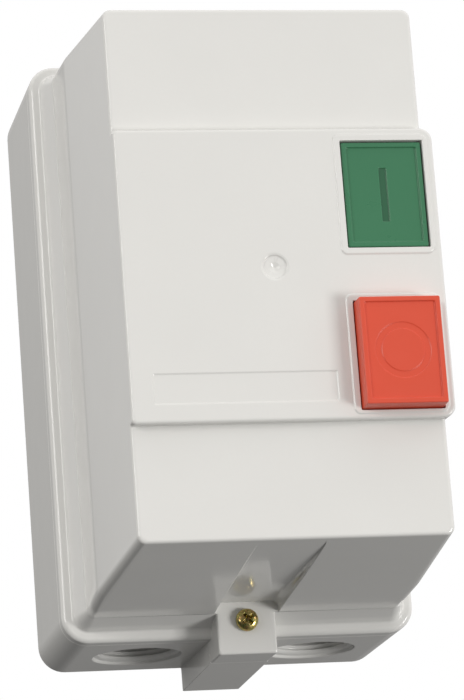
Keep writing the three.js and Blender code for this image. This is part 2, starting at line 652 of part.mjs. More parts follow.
function relayHousing() {
  const front = UNIT.relayFrontY;
  const backY = BIMETAL_SPACE.y[1] + 2;
  const inside = BIMETAL_SPACE.y[0] + 1;
  const stripFront = RELAY_STRIP_Y + GAP;
  const upper = block(wide, [front, backY], [SHELF.top, BIMETAL_SPACE.z[1] + 2.5]);
  const lower = block(wide, [SHELF.frontY, backY], [SHELF.bottom, SHELF.top + 0.1]);
  const heaterSpace = block(span(0, 20), BIMETAL_SPACE.y, BIMETAL_SPACE.z);
  const pole = (x) => [
    block(span(x, 4), [-58.4, -56.7], [25, 29]),
    block(span(x, 5), [SHELF.frontY - 1, stripFront], [SHELF.bottom - 1, SHELF.top - 1.5]),
    block(span(x, 4), [-46.5, stripFront], [SHELF.top - 2, BIMETAL_SPACE.z[0] + 0.5]),
  ];
  const pinHole = (pin) => rod(...inRelay(pin), pin.radius + GAP, [front - 1, inside]);
  const stopHole = pinHole(STOP_PIN);
  const resetHole = pinHole(RESET_PIN);
  const dialHole = rod(...inRelay(DIAL), 1.8, [front, inside], 16);
  const dialRecess = rod(...inRelay(DIAL), DIAL.radius + 0.4, [front - 1, front + 1.6]);
  const cuts = [heaterSpace, ...POLES.flatMap(pole), stopHole, resetHole, dialHole, dialRecess];
  return cut(join(upper, lower), ...cuts);
}
const inRelay = ({ x, z }) => [x - UNIT_X, z - RELAY_Z];

// A forked pin that plugs in under the contactor's load terminal.
function relayPin(x) {
  const blade = block(span(x, 3.7), [-58.1, -57], [22, 43]);
  const fork = block(span(x, 2.1), [-59, -56], [36.5, 44]);
  return cut(blade, fork);
}

function heaterStrip(x) {
  const strip = block(span(x, 3.5), [RELAY_STRIP_Y - STRIP_T, RELAY_STRIP_Y], [-26, 20]);
  return cut(strip, rod(x, RELAY_TERMINAL_Z, 2.1, [-48, -42], 16));
}

function currentDial() {
  const [x, z] = inRelay(DIAL);
  const front = UNIT.relayFrontY;
  const knob = rod(x, z, DIAL.radius, [front - 1, front + 1.3], 32);
  const shaft = rod(x, z, 1.5, [front + 1, -73], 16);
  const slot = block(span(x, 4), [front - 2, front], span(z, 0.6));
  return cut(join(knob, shaft), slot);
}

const relayPinTip = BIMETAL_SPACE.y[0] - 2;
const relayStopButton = () =>
  rod(...inRelay(STOP_PIN), STOP_PIN.radius, [STOP_STEM.tipY + GAP, relayPinTip]);
const relayResetButton = () =>
  rod(...inRelay(RESET_PIN), RESET_PIN.radius, [UNIT.relayFrontY - 3, relayPinTip - 1]);

// ---- Start switch, with x = 0 and z = 0 on its centre line ----
const plungerAt = [START_STEM.x - SWITCH_X, OPENING.startZ - RAIL.z];

const SWITCH = { halfX: 7, halfZ: 22, frontY: -58, seatY: -54, plungerR: 2.5 };

function switchBody() {
  const { halfX, halfZ, frontY, seatY, plungerR } = SWITCH;
  const body = block(span(0, halfX), [frontY, CONTACTOR.backY], span(0, halfZ));
  const bore = rod(...plungerAt, plungerR + GAP, [frontY - 1, seatY + 12]);
  const pockets = SWITCH_SCREWS.map((z) => rod(0, z, 3.6, [frontY - 1, seatY + GAP]));
  const threads = SWITCH_SCREWS.map((z) => rod(0, z, 1.6, [seatY - 1, seatY + 7], 16));
  return cut(join(body, railFeet(halfX)), bore, ...pockets, ...threads);
}

const switchPlunger = () => {
  const length = [START_STEM.tipY + GAP, SWITCH.seatY + 7];
  return rod(...plungerAt, SWITCH.plungerR, length);
};
const switchScrew = (z) => panScrew(0, z, SWITCH.seatY, 3, 2, 1.3, SWITCH.seatY + 6);

// ---- Internal wires ----
function jumper(points) {
  const curve = new THREE.CatmullRomCurve3(points.map((point) => new THREE.Vector3(...point)));
  return sweep(curve, WIRE_R, 6, 20);
}

const coilTop = (side) => {
  const x = UNIT_X + side * 15;
  return [[x, -49, 70], [x, -46.3, 67.6]];
};
const switchWire = () => [
  [SWITCH_X, -56.6, 49], [SWITCH_X, -60, 50], [SWITCH_X - 1, -62, 57], [24, -57, 66], [17, -52, 70],
];
const lineWire = () => [
  [13, -62.2, 60.5], [15, -66.5, 60.5], [24.5, -67, 57.5], [29, -65, 48], [SWITCH_X, -61, 40.5],
  [SWITCH_X, -56.6, 40],
];
const relayWire = () => [
  [-17, -86.5, -44], [-18, -89.5, -44.5], [-26, -88, -43], [-28, -75, -20], [-28, -62, 15],
  [-27.5, -56, 48], [-25, -53, 65], [-19, -51, 70.3],
];

// ---- Assembly ----
add(group, "rear_base", rearBase(), "casing");
add(group, "front_cover", cover(), "casing");
add(group, "cover_gasket", gasket(), "rubber");
add(group, "cover_screw", coverScrew(), "zinc");
add(group, "threaded_insert", threadedInsert(), "brass");

const startFront = new THREE.Group();
startFront.position.set(OPENING.x, PANEL.y, OPENING.startZ);
add(startFront, "start_button", startButton(), "green");
add(startFront, "start_spring", buttonSpring(START_STEM.x, CAP.startSunk), "spring");
add(startFront, "start_retainer", retainer(START_STEM.x), "steel");
const stopFront = new THREE.Group();
stopFront.position.set(OPENING.x, PANEL.y, OPENING.stopZ);
add(stopFront, "stop_button", stopButton(), "red");
add(stopFront, "stop_spring", buttonSpring(STOP_STEM.x, -STOP_PROUD), "spring");
add(stopFront, "stop_retainer", retainer(STOP_STEM.x), "steel");
group.add(startFront, stopFront);

add(group, "din_rail", dinRail(), "steel");
["left", "right"].forEach((side, i) => add(group, `rail_screw_${side}`, railScrew(RAIL_SCREWS[i]), "zinc"));

add(contactor, "contactor_base", contactorBase(), "black");
add(contactor, "contactor_housing", contactorHousing(), "ivory");
add(contactor, "fixed_core", eCore(CORE_LEG_Y, ...CORE_YOKE), "core");
add(contactor, "coil_bobbin", coilBobbin(), "ivory");
add(contactor, "coil_winding", coilWinding(), "copper");
add(contactor, "armature", eCore(CORE_LEG_Y - PULL - GAP, ...ARMATURE_YOKE), "core");
add(contactor, "contact_carrier", contactCarrier(), "black");
add(contactor, "return_spring_upper", returnSpring(12), "spring");
add(contactor, "return_spring_lower", returnSpring(-12), "spring");
POLES.forEach((x, i) => {
  const pole = i + 1;
  add(contactor, `moving_contact_${pole}`, movingContact(x), "copper");
  add(contactor, `line_terminal_${pole}`, terminalStrip(x, 1), "brass");
  add(contactor, `load_terminal_${pole}`, terminalStrip(x, -1), "brass");
  add(contactor, `line_screw_${pole}`, clampScrew(x, TERMINAL_Z, STRIP_Y - STRIP_T), "zinc");
  add(contactor, `load_screw_${pole}`, clampScrew(x, -TERMINAL_Z, STRIP_Y - STRIP_T), "zinc");
  add(relay, `relay_pin_${pole}`, relayPin(x), "brass");
  add(relay, `heater_strip_${pole}`, heaterStrip(x), "steel");
  add(relay, `relay_screw_${pole}`, clampScrew(x, RELAY_TERMINAL_Z, RELAY_STRIP_Y - STRIP_T), "zinc");
});
COIL_TERMINALS.forEach((x, i) => add(contactor, `coil_terminal_${i + 1}`, coilTerminal(x), "brass"));

add(relay, "relay_housing", relayHousing(), "grey");
add(relay, "current_dial", currentDial(), "ivory");
add(relay, "relay_stop_button", relayStopButton(), "red");
add(relay, "relay_reset_button", relayResetButton(), "blue");

add(startSwitch, "start_switch_body", switchBody(), "black");
add(startSwitch, "start_switch_plunger", switchPlunger(), "green");
SWITCH_SCREWS.forEach((z, i) => add(startSwitch, `start_switch_screw_${i + 1}`, switchScrew(z), "zinc"));

add(group, "switch_wire", jumper([...switchWire(), ...coilTop(1)]), "wire");
add(group, "line_wire", jumper(lineWire()), "wire");
add(group, "relay_wire", jumper([...relayWire(), ...coilTop(-1)]), "wire");

export default group;
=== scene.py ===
"""Looks of the enclosed motor starter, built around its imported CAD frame.

The mesh tools work in millimetres: +X right, +Y into the wall, +Z up, origin at the centre of the
back. Each piece is scaled to metres when it is placed on its body.
"""

import json
import math

import bmesh
import bpy
from mathutils import Matrix, Vector

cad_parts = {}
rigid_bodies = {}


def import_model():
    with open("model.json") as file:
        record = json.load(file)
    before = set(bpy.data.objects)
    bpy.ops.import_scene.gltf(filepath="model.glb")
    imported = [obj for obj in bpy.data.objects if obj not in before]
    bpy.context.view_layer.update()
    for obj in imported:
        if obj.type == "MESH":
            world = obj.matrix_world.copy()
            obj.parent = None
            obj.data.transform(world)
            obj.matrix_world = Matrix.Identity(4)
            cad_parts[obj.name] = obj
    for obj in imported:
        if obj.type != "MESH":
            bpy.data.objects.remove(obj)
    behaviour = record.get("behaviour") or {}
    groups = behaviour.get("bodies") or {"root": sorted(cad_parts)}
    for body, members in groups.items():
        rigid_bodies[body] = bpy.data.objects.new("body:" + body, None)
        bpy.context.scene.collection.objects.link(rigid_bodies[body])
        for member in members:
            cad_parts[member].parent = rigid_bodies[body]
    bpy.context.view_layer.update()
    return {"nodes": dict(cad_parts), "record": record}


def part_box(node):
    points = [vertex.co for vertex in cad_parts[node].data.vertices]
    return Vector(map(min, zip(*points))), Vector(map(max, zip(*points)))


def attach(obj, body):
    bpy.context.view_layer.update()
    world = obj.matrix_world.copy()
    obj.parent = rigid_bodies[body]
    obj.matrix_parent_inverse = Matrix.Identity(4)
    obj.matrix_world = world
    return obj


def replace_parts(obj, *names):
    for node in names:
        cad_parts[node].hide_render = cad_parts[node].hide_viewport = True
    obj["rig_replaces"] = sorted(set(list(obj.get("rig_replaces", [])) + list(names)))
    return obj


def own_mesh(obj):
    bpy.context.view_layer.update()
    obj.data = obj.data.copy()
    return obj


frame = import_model()
NODES = frame["nodes"]
SLOT_OF = {row["node"]: row["material_slot"] for row in frame["record"]["subparts"]}
BODIES = frame["record"]["behaviour"]["bodies"]
BODY_OF = {node: body for body, members in BODIES.items() for node in members}
MM = 0.001


def box_mm(node):
    low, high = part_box(node)
    return low / MM, high / MM


# ---------------------------------------------------------------- mesh tools, in millimetres
CORNER_STEPS = 10
FILLET_STEPS = 5
WELD = 1e-4


def new_object(name, bm):
    bmesh.ops.recalc_face_normals(bm, faces=bm.faces)
    mesh = bpy.data.meshes.new(name)
    bm.to_mesh(mesh)
    bm.free()
    obj = bpy.data.objects.new(name, mesh)
    bpy.context.scene.collection.objects.link(obj)
    return obj


def section(y, x_range, z_range, left, right=None):
    """One section of a loft: a rectangle with round corners at depth y."""
    return (y, *x_range, *z_range, left, left if right is None else right)


def centred(y, half_x, half_z, radius):
    """A section about the middle of the object."""
    return section(y, (-half_x, half_x), (-half_z, half_z), radius)


def filleted(sections, radii):
    """The sections with the edge at each one rounded. A radius of 0 keeps it sharp."""
    out = [sections[0]]
    for before, here, after, radius in zip(sections, sections[1:], sections[2:], radii):
        if radius == 0:
            out.append(here)
            continue
        a, b, c = (Vector(s) for s in (before, here, after))
        reach = [min(radius, 0.48 * flat_length(a, b)), min(radius, 0.48 * flat_length(b, c))]
        start = b + (a - b) * (reach[0] / flat_length(a, b))
        end = b + (c - b) * (reach[1] / flat_length(b, c))
        for i in range(FILLET_STEPS + 1):
            t = i / FILLET_STEPS
            point = start * (1 - t) ** 2 + b * (2 * t * (1 - t)) + end * t**2
            out.append(tuple(point))
    out.append(sections[-1])
    return out


def flat_length(a, b):
    """Distance between two sections in the plane of depth and half width."""
    return max(1e-6, math.hypot(a[0] - b[0], max(abs(a[2] - b[2]), abs(a[4] - b[4]))))


def ring(sec, steps):
    """The points of a section, with each round corner in as many steps."""
    y, x0, x1, z0, z1, left, right = sec
    corners = [
        (x1 - right, z0 + right, right, -90),
        (x1 - right, z1 - right, right, 0),
        (x0 + left, z1 - left, left, 90),
        (x0 + left, z0 + left, left, 180),
    ]
    points = []
    for x, z, radius, start in corners:
        for i in range(steps + 1):
            angle = math.radians(start + 90 * i / steps)
            points.append((x + radius * math.cos(angle), y, z + radius * math.sin(angle)))
    return points


def skin(name, rings):
    """A closed body through rings of points, capped at both ends."""
    bm = bmesh.new()
    loops = [[bm.verts.new(p) for p in points] for points in rings]
    count = len(loops[0])
    for a, b in zip(loops, loops[1:]):
        for i in range(count):
            j = (i + 1) % count
            bm.faces.new((a[i], a[j], b[j], b[i]))
    bm.faces.new(loops[0])
    bm.faces.new(loops[-1])
    return new_object(name, bm)


def loft(sections, steps=CORNER_STEPS):
    return skin("loft", [ring(sec, steps) for sec in sections])


def lathe(profile, axis, at, sides=64):
    """A closed body of revolution from an open profile of (radius, height) points whose ends
    are on the axis, or from a closed ring profile that stays clear of it."""
    on_axis = profile[0][0] == 0
    bm = bmesh.new()
    inner = profile[1:-1] if on_axis else profile

    def point(radius, height, angle):
        c, s = radius * math.cos(angle), radius * math.sin(angle)
        local = {"y": (c, height, s), "z": (c, s, height)}[axis]
        return Vector(local) + Vector(at)

    rows = []
    for radius, height in inner:
        angles = [2 * math.pi * i / sides for i in range(sides)]
        rows.append([bm.verts.new(point(radius, height, a)) for a in angles])
    pairs = list(zip(rows, rows[1:])) + ([] if on_axis else [(rows[-1], rows[0])])
    for a, b in pairs:
        for i in range(sides):
            j = (i + 1) % sides
            bm.faces.new((a[i], a[j], b[j], b[i]))
    if on_axis:
        for (_, height), row in ((profile[0], rows[0]), (profile[-1], rows[-1])):
            centre = bm.verts.new(point(0, height, 0))
            for i in range(sides):
                bm.faces.new((row[i], row[(i + 1) % sides], centre))
    return new_object("lathe", bm)


def rod(x, z, radius, y_range):
    """A cylinder along Y."""
    low, high = y_range
    return lathe([(0, low), (radius, low), (radius, high), (0, high)], "y", (x, 0, z), 48)


def prism_x(outline, x_range):
    """A prism along X whose outline is a list of (y, z) points."""
    return skin("prism", [[(x, y, z) for y, z in outline] for x in x_range])


def prism_y(outline, y_range):
    """A prism along Y whose outline is a list of (x, z) points."""
    return skin("prism", [[(x, y, z) for x, z in outline] for y in y_range])


def block(x_range, y_range, z_range):
    (x0, x1), (z0, z1) = x_range, z_range
    return prism_y([(x0, z0), (x1, z0), (x1, z1), (x0, z1)], y_range)


def apply_modifiers(obj):
    graph = bpy.context.evaluated_depsgraph_get()
    mesh = bpy.data.meshes.new_from_object(obj.evaluated_get(graph))
    old = obj.data
    obj.modifiers.clear()
    obj.data = mesh
    bpy.data.meshes.remove(old)


def combine(target, tools, operation):
    for tool in tools:
        modifier = target.modifiers.new("combine", "BOOLEAN")
        modifier.operation = operation
        modifier.solver = "MANIFOLD"
        modifier.object = tool
        apply_modifiers(target)
        bpy.data.objects.remove(tool)
    return target


def join(target, *tools):
    return combine(target, tools, "UNION")


def cut(target, *tools):
    return combine(target, tools, "DIFFERENCE")


def tidy_mesh(obj, angle=0.6):
    """Welds stray points, and merges faces that meet at less than an angle in degrees."""
    bm = bmesh.new()
    bm.from_mesh(obj.data)
    bmesh.ops.remove_doubles(bm, verts=bm.verts, dist=WELD)
    bmesh.ops.dissolve_degenerate(bm, edges=bm.edges, dist=WELD)
    bmesh.ops.dissolve_limit(bm, angle_limit=math.radians(angle), verts=bm.verts, edges=bm.edges)
    bm.to_mesh(obj.data)
    bm.free()
    return obj


def soften(obj, width, angle=32):
    """Rounds the edges that turn by more than an angle in degrees."""
    bevel = obj.modifiers.new("round_edges", "BEVEL")
    bevel.width = width
    bevel.segments = 2
    bevel.limit_method = "ANGLE"
    bevel.angle_limit = math.radians(angle)
    bevel.use_clamp_overlap = False
    bevel.miter_outer = "MITER_SHARP"
    apply_modifiers(obj)
    return obj


def smooth(obj, angle=40):
    """Shades smooth up to an angle in degrees, and keeps large flat faces flat."""
    obj.data.shade_smooth()
    obj.data.set_sharp_from_angle(angle=math.radians(angle))
    weighted = obj.modifiers.new("weighted_normals", "WEIGHTED_NORMAL")
    weighted.keep_sharp = True
    weighted.weight = 80
    return obj


def place(obj, node):
    """Scales a finished piece to metres and puts it on its node's body in that node's place."""
    obj.data.transform(Matrix.Scale(MM, 4))
    obj.name = f"{node}_shown"
    obj.data.name = obj.name
    obj.data.materials.clear()
    obj.data.materials.append(looks[SLOT_OF[node]])
    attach(obj, BODY_OF[node])
    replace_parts(obj, node)
    return obj


# ---------------------------------------------------------------- materials
class Look:
    """A Principled material whose textures are laid out in the piece's own millimetres."""

    def __init__(self, name, **sockets):
        self.material = bpy.data.materials.new(name)
        self.material.use_nodes = True
        self.nodes = self.material.node_tree.nodes
        self.links = self.material.node_tree.links
        self.shader = self.nodes["Principled BSDF"]
        self.place = self.nodes.new("ShaderNodeTexCoord").outputs["Object"]
        for socket, value in sockets.items():
            self.shader.inputs[socket.replace("_", " ")].default_value = value

    def node(self, kind, inputs=None, **settings):
        made = self.nodes.new(kind)
        for key, value in settings.items():
            setattr(made, key, value)
        for key, value in (inputs or {}).items():
            if isinstance(value, bpy.types.NodeSocket):
                self.links.new(value, made.inputs[key])
            else:
                made.inputs[key].default_value = value
        return made

    def noise(self, size_mm, detail=2.0, stretch=(1, 1, 1)):
        scaled = self.node("ShaderNodeMapping", {"Vector": self.place, "Scale": stretch})
        inputs = {
            "Vector": scaled.outputs[0],
            "Scale": 1 / (size_mm * MM),
            "Detail": detail,
            "Roughness": 0.55,
        }
        return self.node("ShaderNodeTexNoise", inputs).outputs["Fac"]

    def range(self, value, low, high, from_low=0.3, from_high=0.7):
        inputs = {"Value": value, "From Min": from_low, "From Max": from_high}
        inputs.update({"To Min": low, "To Max": high})
        return self.node("ShaderNodeMapRange", inputs).outputs[0]

    def blend(self, factor, a, b):
        made = self.node("ShaderNodeMix", {"Factor": factor}, data_type="RGBA")
        for socket, value in (("A", a), ("B", b)):
            target = next(s for s in made.inputs if s.name == socket and s.type == "RGBA")
            if isinstance(value, bpy.types.NodeSocket):
                self.links.new(value, target)
            else:
                target.default_value = (*value, 1)
        return next(s for s in made.outputs if s.type == "RGBA")

    def edges(self, radius_mm, low=0.02, high=0.25):
        """1 along the edges and 0 on the flats, from how far the rounded normal turns away."""
        rounded = self.node("ShaderNodeBevel", {"Radius": radius_mm * MM}, samples=6).outputs[0]
        flat = self.node("ShaderNodeNewGeometry").outputs["Normal"]
        dot = self.node("ShaderNodeVectorMath", {0: rounded, 1: flat}, operation="DOT_PRODUCT")
        return self.range(dot.outputs["Value"], 0.0, 1.0, 1 - low, 1 - high)

    def set(self, **sockets):
        for socket, value in sockets.items():
            self.links.new(value, self.shader.inputs[socket.replace("_", " ")])

    def bump(self, layers):
        """Stacks bumps. Each layer is (height, height range in millimetres)."""
        normal = None
        for height, distance in layers:
            inputs = {"Height": height, "Distance": distance * MM, "Strength": 1.0}
            if normal is not None:
                inputs["Normal"] = normal
            normal = self.node("ShaderNodeBump", inputs).outputs[0]
        self.links.new(normal, self.shader.inputs["Normal"])


def shade(color, factor):
    return tuple(min(1.0, c * factor) for c in color)


# How dark the painted shade at the bottom of a sunk mark is.
RECESS_SHADE = 0.62


def moulded(name, color, gloss, grain, edge_wear_and_sheen, grain_mm=0.35, spread=0.025, shaded_depths=None):
    """Moulded plastic: faint flow mottling, fine grain, and edges lightened by wear and a painted
    highlight.
    Painted shade darkens what lies between the two depths given, at the bottom of a sunk mark."""
    look = Look(name, IOR=1.5)
    clouds = look.noise(26, 3)
    specks = look.noise(0.9, 2)
    tone = look.blend(look.range(clouds, 0, 1), shade(color, 1 - spread), shade(color, 1 + spread))
    tone = look.blend(look.range(specks, 0, 0.25), tone, shade(color, 1 - 2 * spread))
    # Painted highlight along the edges, partly standing for handling wear: the edges are made
    # lighter.
    tone = look.blend(look.edges(0.5), tone, shade(color, edge_wear_and_sheen))
    # Painted shade at the bottom of a sunk mark, between two depths.
    if shaded_depths:
        split = look.node("ShaderNodeSeparateXYZ", {"Vector": look.place})
        low, high = (depth * MM for depth in shaded_depths)
        deep = look.range(split.outputs["Y"], 0, 1, low, low + 0.1 * MM)
        past = look.range(split.outputs["Y"], 1, 0, high, high + 0.1 * MM)
        inside = look.node("ShaderNodeMath", {0: deep, 1: past}, operation="MULTIPLY").outputs[0]
        tone = look.blend(inside, tone, shade(color, RECESS_SHADE))
    rough = look.range(look.noise(7, 3), gloss * 0.85, gloss * 1.25)
    look.set(Base_Color=tone, Roughness=rough)
    look.bump([(look.noise(4.5, 1), 0.004), (look.noise(grain_mm, 2), grain)])
    return look.material


def metal(name, color, tint, gloss, stretch=(1, 1, 1)):
    """Bare or plated metal: drawn lines, blotchy plating and bright worn edges."""
    look = Look(name, Metallic=1.0)
    blotches = look.range(look.noise(1.6, 3), 0, 1)
    lines = look.noise(0.25, 3, stretch)
    tone = look.blend(blotches, color, tint)
    tone = look.blend(look.edges(0.25), tone, shade(color, 1.25))
    rough = look.range(lines, gloss * 0.7, gloss * 1.4)
    look.set(Base_Color=tone, Roughness=rough)
    look.bump([(lines, 0.004), (look.noise(0.8, 2), 0.003)])
    return look.material


def yellow_zinc():
    """Yellow passivated zinc: straw, olive and rose films over bright metal."""
    look = Look("yellow_zinc", Metallic=1.0)
    straw, olive, rose = (0.56, 0.44, 0.16), (0.30, 0.31, 0.10), (0.62, 0.30, 0.16)
    tone = look.blend(look.range(look.noise(1.3, 3), 0, 1, 0.42, 0.6), straw, olive)
    tone = look.blend(look.range(look.noise(0.8, 2), 0, 0.8, 0.56, 0.68), tone, rose)
    tone = look.blend(look.edges(0.2), tone, (0.75, 0.68, 0.46))
    look.set(Base_Color=tone, Roughness=look.range(look.noise(0.5, 3), 0.16, 0.34))
    look.bump([(look.noise(0.22, 3), 0.008)])
    return look.material


# The bottom of the START button's bar gets painted shade.
BAR_DEPTHS = (-120.3, -120.0)  # the bottom of the bar in the START button
# In the moulded rows, the number after the grain is how much lighter the edges are painted, for
# wear and as a painted highlight.
looks = {
    "casing": moulded("casing", (0.80, 0.795, 0.77), 0.11, 0.0006, 1.1, spread=0.012),
    "green_plastic": moulded(
        "green_plastic", (0.05, 0.20, 0.10), 0.30, 0.002, 1.9, shaded_depths=BAR_DEPTHS
    ),
    "red_plastic": moulded("red_plastic", (0.74, 0.09, 0.045), 0.36, 0.002, 1.3),
    "blue_plastic": moulded("blue_plastic", (0.04, 0.13, 0.40), 0.30, 0.002, 1.3),
    "black_plastic": moulded("black_plastic", (0.022, 0.022, 0.025), 0.45, 0.006, 1.8),
    "grey_plastic": moulded("grey_plastic", (0.24, 0.25, 0.26), 0.42, 0.006, 1.3),
    "ivory_plastic": moulded("ivory_plastic", (0.66, 0.64, 0.56), 0.40, 0.005, 1.1),
    "gasket_rubber": moulded("gasket_rubber", (0.018, 0.018, 0.018), 0.75, 0.03, 1.2, grain_mm=0.5),
    "wire_insulation": moulded("wire_insulation", (0.02, 0.045, 0.13), 0.35, 0.002, 1.2),
    "yellow_zinc": yellow_zinc(),
    "steel": metal("steel", (0.56, 0.57, 0.58), (0.47, 0.48, 0.50), 0.28, (0.05, 1, 1)),
    "spring_steel": metal("spring_steel", (0.50, 0.51, 0.53), (0.40, 0.40, 0.42), 0.25),
    "core_steel": metal("core_steel", (0.26, 0.27, 0.29), (0.16, 0.14, 0.13), 0.42, (0.1, 0.1, 3)),
    "brass": metal("brass", (0.68, 0.49, 0.20), (0.55, 0.37, 0.15), 0.26, (1, 0.2, 1)),
    "copper": metal("copper", (0.66, 0.30, 0.16), (0.50, 0.22, 0.12), 0.30, (0.05, 1, 3)),
}


# ---------------------------------------------------------------- the cover
BASE_X, BASE_Z, BASE_CORNER = 47.7, 80.0, 7.0  # half width, half height and corner of the rim
FRONT_Y, PANEL_Y = -118.6, -121.2  # the cover's front and its raised panel
OPENING_X = 29.0
OPENING_HALF = (10.85, 14.2)
START_Z, STOP_Z = 18.8, -23.5
START_STEM_X, STOP_STEM_X = 30, 27
SCREW_Z = -77.0
LUG_HALF, LUG_FRONT, LUG_LOW = 7.9, -52.0, -85.9
PARTING = -39.66  # the cover's rear face
FOOT_Y, WAIST_Y = -52.0, -72.0  # where the walls stand on the flange, and where they turn inwards
WAIST_X, FRONT_X = 42.8, 40.35
WALL_SLOPE = (WAIST_X - FRONT_X) / (WAIST_Y - FRONT_Y)
PANEL_Z = (-39.9, 36.4)
MARK_X = -1.1  # the knock-out mark on the panel


def wall_x(y):
    """Half width of the cover's side walls at depth y, in front of the waist."""
    return WAIST_X - (WAIST_Y - y) * WALL_SLOPE


def rim_section(y, inset):
    """A section of the rim outline, set in by the same distance all round."""
    return centred(y, BASE_X - inset, BASE_Z - inset, BASE_CORNER - inset)


def cover_outer():
    """The flange, stepped up to its ledge, and the tapered walls that stand on it."""
    flange = [
        rim_section(PARTING, 3),
        rim_section(PARTING, 0),
        rim_section(-43.1, 0),
        rim_section(-43.9, 0.8),
        rim_section(-44.2, 2.8),
    ]
    walls = [
        centred(FOOT_Y, 42.6, 74.9, 2.4),
        centred(WAIST_Y, WAIST_X, 73.35, 2.4),
        centred(FRONT_Y, FRONT_X, 69.45, 2.2),
        centred(FRONT_Y, 36, 65, 1.2),
    ]
    radii = [0.1, 0.5, 0.5, 0.5, 0.7, 2, 1.0]
    return loft(filleted([*flange, *walls], radii))


def cover_inner():
    """The space in the cover, under a front wall 2.3 thick."""
    ceiling = FRONT_Y + 2.3
    sections = [
        centred(PARTING + 1, 40.3, 72.6, 3.7),
        centred(FOOT_Y, 40.3, 72.6, 3.7),
        centred(WAIST_Y, 40.5, 71.6, 1.2),
        centred(ceiling, 38.05, 67.15, 1.2),
        centred(ceiling, 34, 63, 0.8),
    ]
    return loft(filleted(sections, [0, 9, 0.8]))


def panel():
    """The raised panel, which runs past the right wall and fades into it further back."""
    (low, high), corner = PANEL_Z, 3.2
    sunk, level = -90, -106
    sections = [
        section(sunk, (-39.5, 41.2), (low + 0.6, high - 0.6), 1, corner),
        section(level, (0.05 - wall_x(level), 42.0), (low + 0.15, high - 0.15), 1, corner),
        section(PANEL_Y, (-0.06 - wall_x(PANEL_Y), 42.7), (low, high), 1, corner),
        section(PANEL_Y, (-36, 38.7), (low + 4, high - 4), 0.5, 1),
    ]
    return loft(filleted(sections, [0, 0.9]))


def bezel(z):
    """The low frame around an opening, kept clear of the panel's rounded edges."""
    half_x, half_z, clear = OPENING_HALF[0] + 1.8, OPENING_HALF[1] + 1.8, 1.2
    x_range = (OPENING_X - half_x, OPENING_X + half_x - 0.45)
    z_range = (max(z - half_z, PANEL_Z[0] + clear), min(z + half_z, PANEL_Z[1] - clear))

    def at(y, less, left, right):
        inner_x = (x_range[0] + less, x_range[1] - less)
        return section(y, inner_x, (z_range[0] + less, z_range[1] - less), left, right)

    top = PANEL_Y - 0.32
    sections = [at(PANEL_Y + 0.6, -0.3, 1.6, 2.4), at(top, 0.2, 1.4, 2.2), at(top, 1, 0.8, 1.3)]
    return loft(filleted(sections, [0.3]))


def sleeve(z):
    """The walls behind the panel that guide a button."""
    half_x, half_z = OPENING_HALF[0] + 1.5, OPENING_HALF[1] + 1.5
    return block((OPENING_X - half_x, 40.65), (FRONT_Y, -106.5), (z - half_z, z + half_z))


def opening(z):
    """The well of a button."""
    half_x, half_z = OPENING_HALF
    x_range, z_range = (OPENING_X - half_x, OPENING_X + half_x), (z - half_z, z + half_z)
    return loft([section(y, x_range, z_range, 0.35) for y in (-108.5, PANEL_Y - 2)], 4)


def channel():
    """The shallow channel that leads a screwdriver along the underside to the cover screw."""
    return loft(
        [
            section(FRONT_Y - 0.6, (-9.95, 8.3), (-95, -69.52), 0.5),
            section(-104, (-9.6, 8.45), (-95, -70.06), 1.1),
            section(-85, (-9.2, 8.6), (-95, -70.76), 1.7),
            section(LUG_FRONT, (-8.4, 8.9), (-95, -72), 1.9),
        ],
        6,
    )


def channel_skin():
    """The wall above the channel, on the inside of the cover."""
    outline = [(-117.3, -69.2), (-51, -73.9), (-51, -69.8), (-117.3, -67.4)]
    return prism_x(outline, (-11.2, 10.8))


def lug():
    """The tab that carries the cover screw, with its front edges rounded."""
    z_range = (LUG_LOW, -71.2)
    front = section(LUG_FRONT, (-LUG_HALF + 2, LUG_HALF - 2), (LUG_LOW + 2, -73.2), 0.3)
    sections = [section(y, (-LUG_HALF, LUG_HALF), z_range, 0.6) for y in (PARTING, LUG_FRONT)]
    body = loft(filleted([*sections, front], [0.7]), 5)
    root = block((-9.9, 9.9), (PARTING - 3, PARTING), (-74.1, -70))
    return join(body, root)


def hook(x):
    """A hook at the top, which holds the cover to the tray's rim."""
    x_range, end = (x - 3, x + 3), -31
    neck = block(x_range, (PARTING - 4, end), (73.2, 75.4))
    return join(neck, block(x_range, (end - 1.5, end), (74.2, 76.8)))


def witness_ring(x, z, outer):
    """The faint shallow ring that a mould pin leaves."""
    depth, width = 0.045, 0.7
    inner = outer - width
    profile = [
        (inner, -0.5),
        (outer, -0.5),
        (outer, 0),
        (outer - 0.3 * width, depth),
        (inner + 0.3 * width, depth),
        (inner, 0),
    ]
    return lathe(profile, "y", (x, PANEL_Y, z))


def dimple():
    """The round knock-out mark in the middle of the panel."""
    profile = [
        (0, -1), (3.75, -1), (3.75, 0), (3.55, 0.1), (3.15, 0.14), (3.0, 0.45),
        (2.7, 0.6), (1.5, 0.65), (1.2, 0.8), (0.35, 1.35), (0, 1.4),
    ]
    return lathe(profile, "y", (MARK_X, PANEL_Y, 0))


def label_recess():
    """The shallow recess for a label, with sloping edges."""
    x_range, z_range = (-34.2, 12.6), (-34.9, -27.4)
    floor = PANEL_Y + 0.25

    def at(y, more):
        wider = (x_range[0] - more, x_range[1] + more)
        return section(y, wider, (z_range[0] - more, z_range[1] + more), 0.4)

    return loft([at(floor, 0), at(PANEL_Y, 0.2), at(PANEL_Y - 1, 0.6)], 4)


def stem_hole(x, z):
    """The hole behind a button's well that its stem runs in."""
    return rod(x, z, 3.9, (-110, -104))


